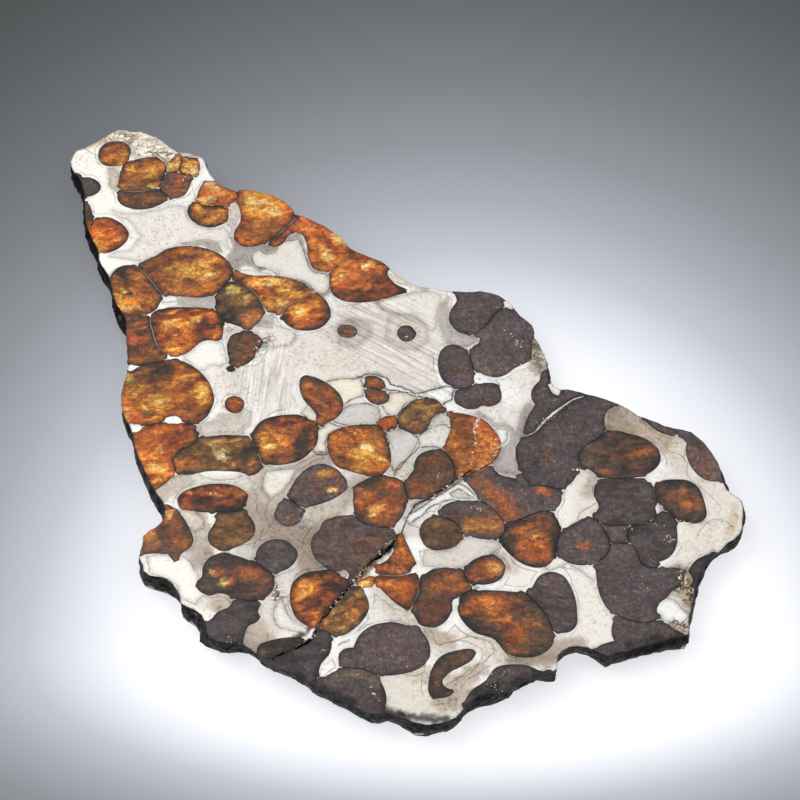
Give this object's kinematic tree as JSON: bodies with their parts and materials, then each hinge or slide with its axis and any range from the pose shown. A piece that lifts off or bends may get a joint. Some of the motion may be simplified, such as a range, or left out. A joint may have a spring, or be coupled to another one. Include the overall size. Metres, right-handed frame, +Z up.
{
  "type": "pallasite meteorite slice",
  "caption": "Flat cut slice of a pallasite meteorite: amber and dark olivine crystals set in a network of etched iron-nickel metal.",
  "frame": {"origin": "middle of the underside", "axes": "+Z is up, out of the cut face that shows; +X and +Y lie along the underside, with the pointed tip at -X +Y"},
  "size_m": [0.118, 0.1214, 0.005],
  "materials": {
    "iron_nickel": "etched and polished iron-nickel, with rough dark sides",
    "olivine_amber": "polished see-through amber and orange olivine",
    "olivine_dark": "polished dark grey-brown olivine"
  },
  "bodies": {
    "root": {"metal_network": "iron_nickel", "metal_right_network": "iron_nickel", "metal_right_middle": "iron_nickel", "metal_left_island": "iron_nickel", "metal_left_corner": "iron_nickel", "metal_shoulder_corner": "iron_nickel", "metal_upper_right": "iron_nickel", "metal_right_pocket": "iron_nickel", "olivine_tip": "olivine_amber", "olivine_tip_pair": "olivine_amber", "olivine_tip_cluster": "olivine_amber", "olivine_left_edge_top": "olivine_dark", "olivine_left_edge_sliver": "olivine_dark", "olivine_left_edge_round": "olivine_amber", "olivine_top_edge_pair": "olivine_amber", "olivine_top_edge_trio": "olivine_amber", "olivine_left_oval": "olivine_amber", "olivine_left_big": "olivine_amber", "olivine_upper_trio": "olivine_amber", "olivine_left_pair": "olivine_amber", "olivine_upper_brown": "olivine_dark", "olivine_grey_oval": "olivine_dark", "olivine_small_round": "olivine_dark", "olivine_shoulder_trio": "olivine_dark", "olivine_shoulder_block": "olivine_dark", "olivine_right_big": "olivine_dark", "olivine_right_oval": "olivine_dark", "olivine_right_cluster": "olivine_dark", "olivine_right_wedge": "olivine_dark", "olivine_right_lower_oval": "olivine_dark", "olivine_lower_right_big": "olivine_dark", "olivine_right_edge_wedge": "olivine_dark", "olivine_right_edge": "olivine_dark", "olivine_left_amber_big": "olivine_amber", "olivine_left_long": "olivine_amber", "olivine_middle_streaked": "olivine_amber", "olivine_middle_small_round": "olivine_amber", "olivine_middle_wedge": "olivine_amber", "olivine_middle_twin": "olivine_amber", "olivine_centre_pair": "olivine_amber", "olivine_centre_fractured": "olivine_amber", "olivine_centre_round": "olivine_amber", "olivine_fissure_orange": "olivine_amber", "olivine_split": "olivine_amber", "olivine_bottom_pair": "olivine_dark", "olivine_lower_pear": "olivine_amber", "olivine_lower_big": "olivine_amber", "olivine_bottom_kidney": "olivine_dark", "olivine_bottom_edge": "olivine_dark", "olivine_left_edge_amber": "olivine_amber", "olivine_left_inner": "olivine_dark", "olivine_lower_left": "olivine_dark", "olivine_middle_dark": "olivine_dark", "olivine_middle_bright": "olivine_amber", "olivine_right_middle": "olivine_dark", "olivine_middle_pair": "olivine_dark", "olivine_right_middle_round": "olivine_amber"}
  },
  "joints": []
}
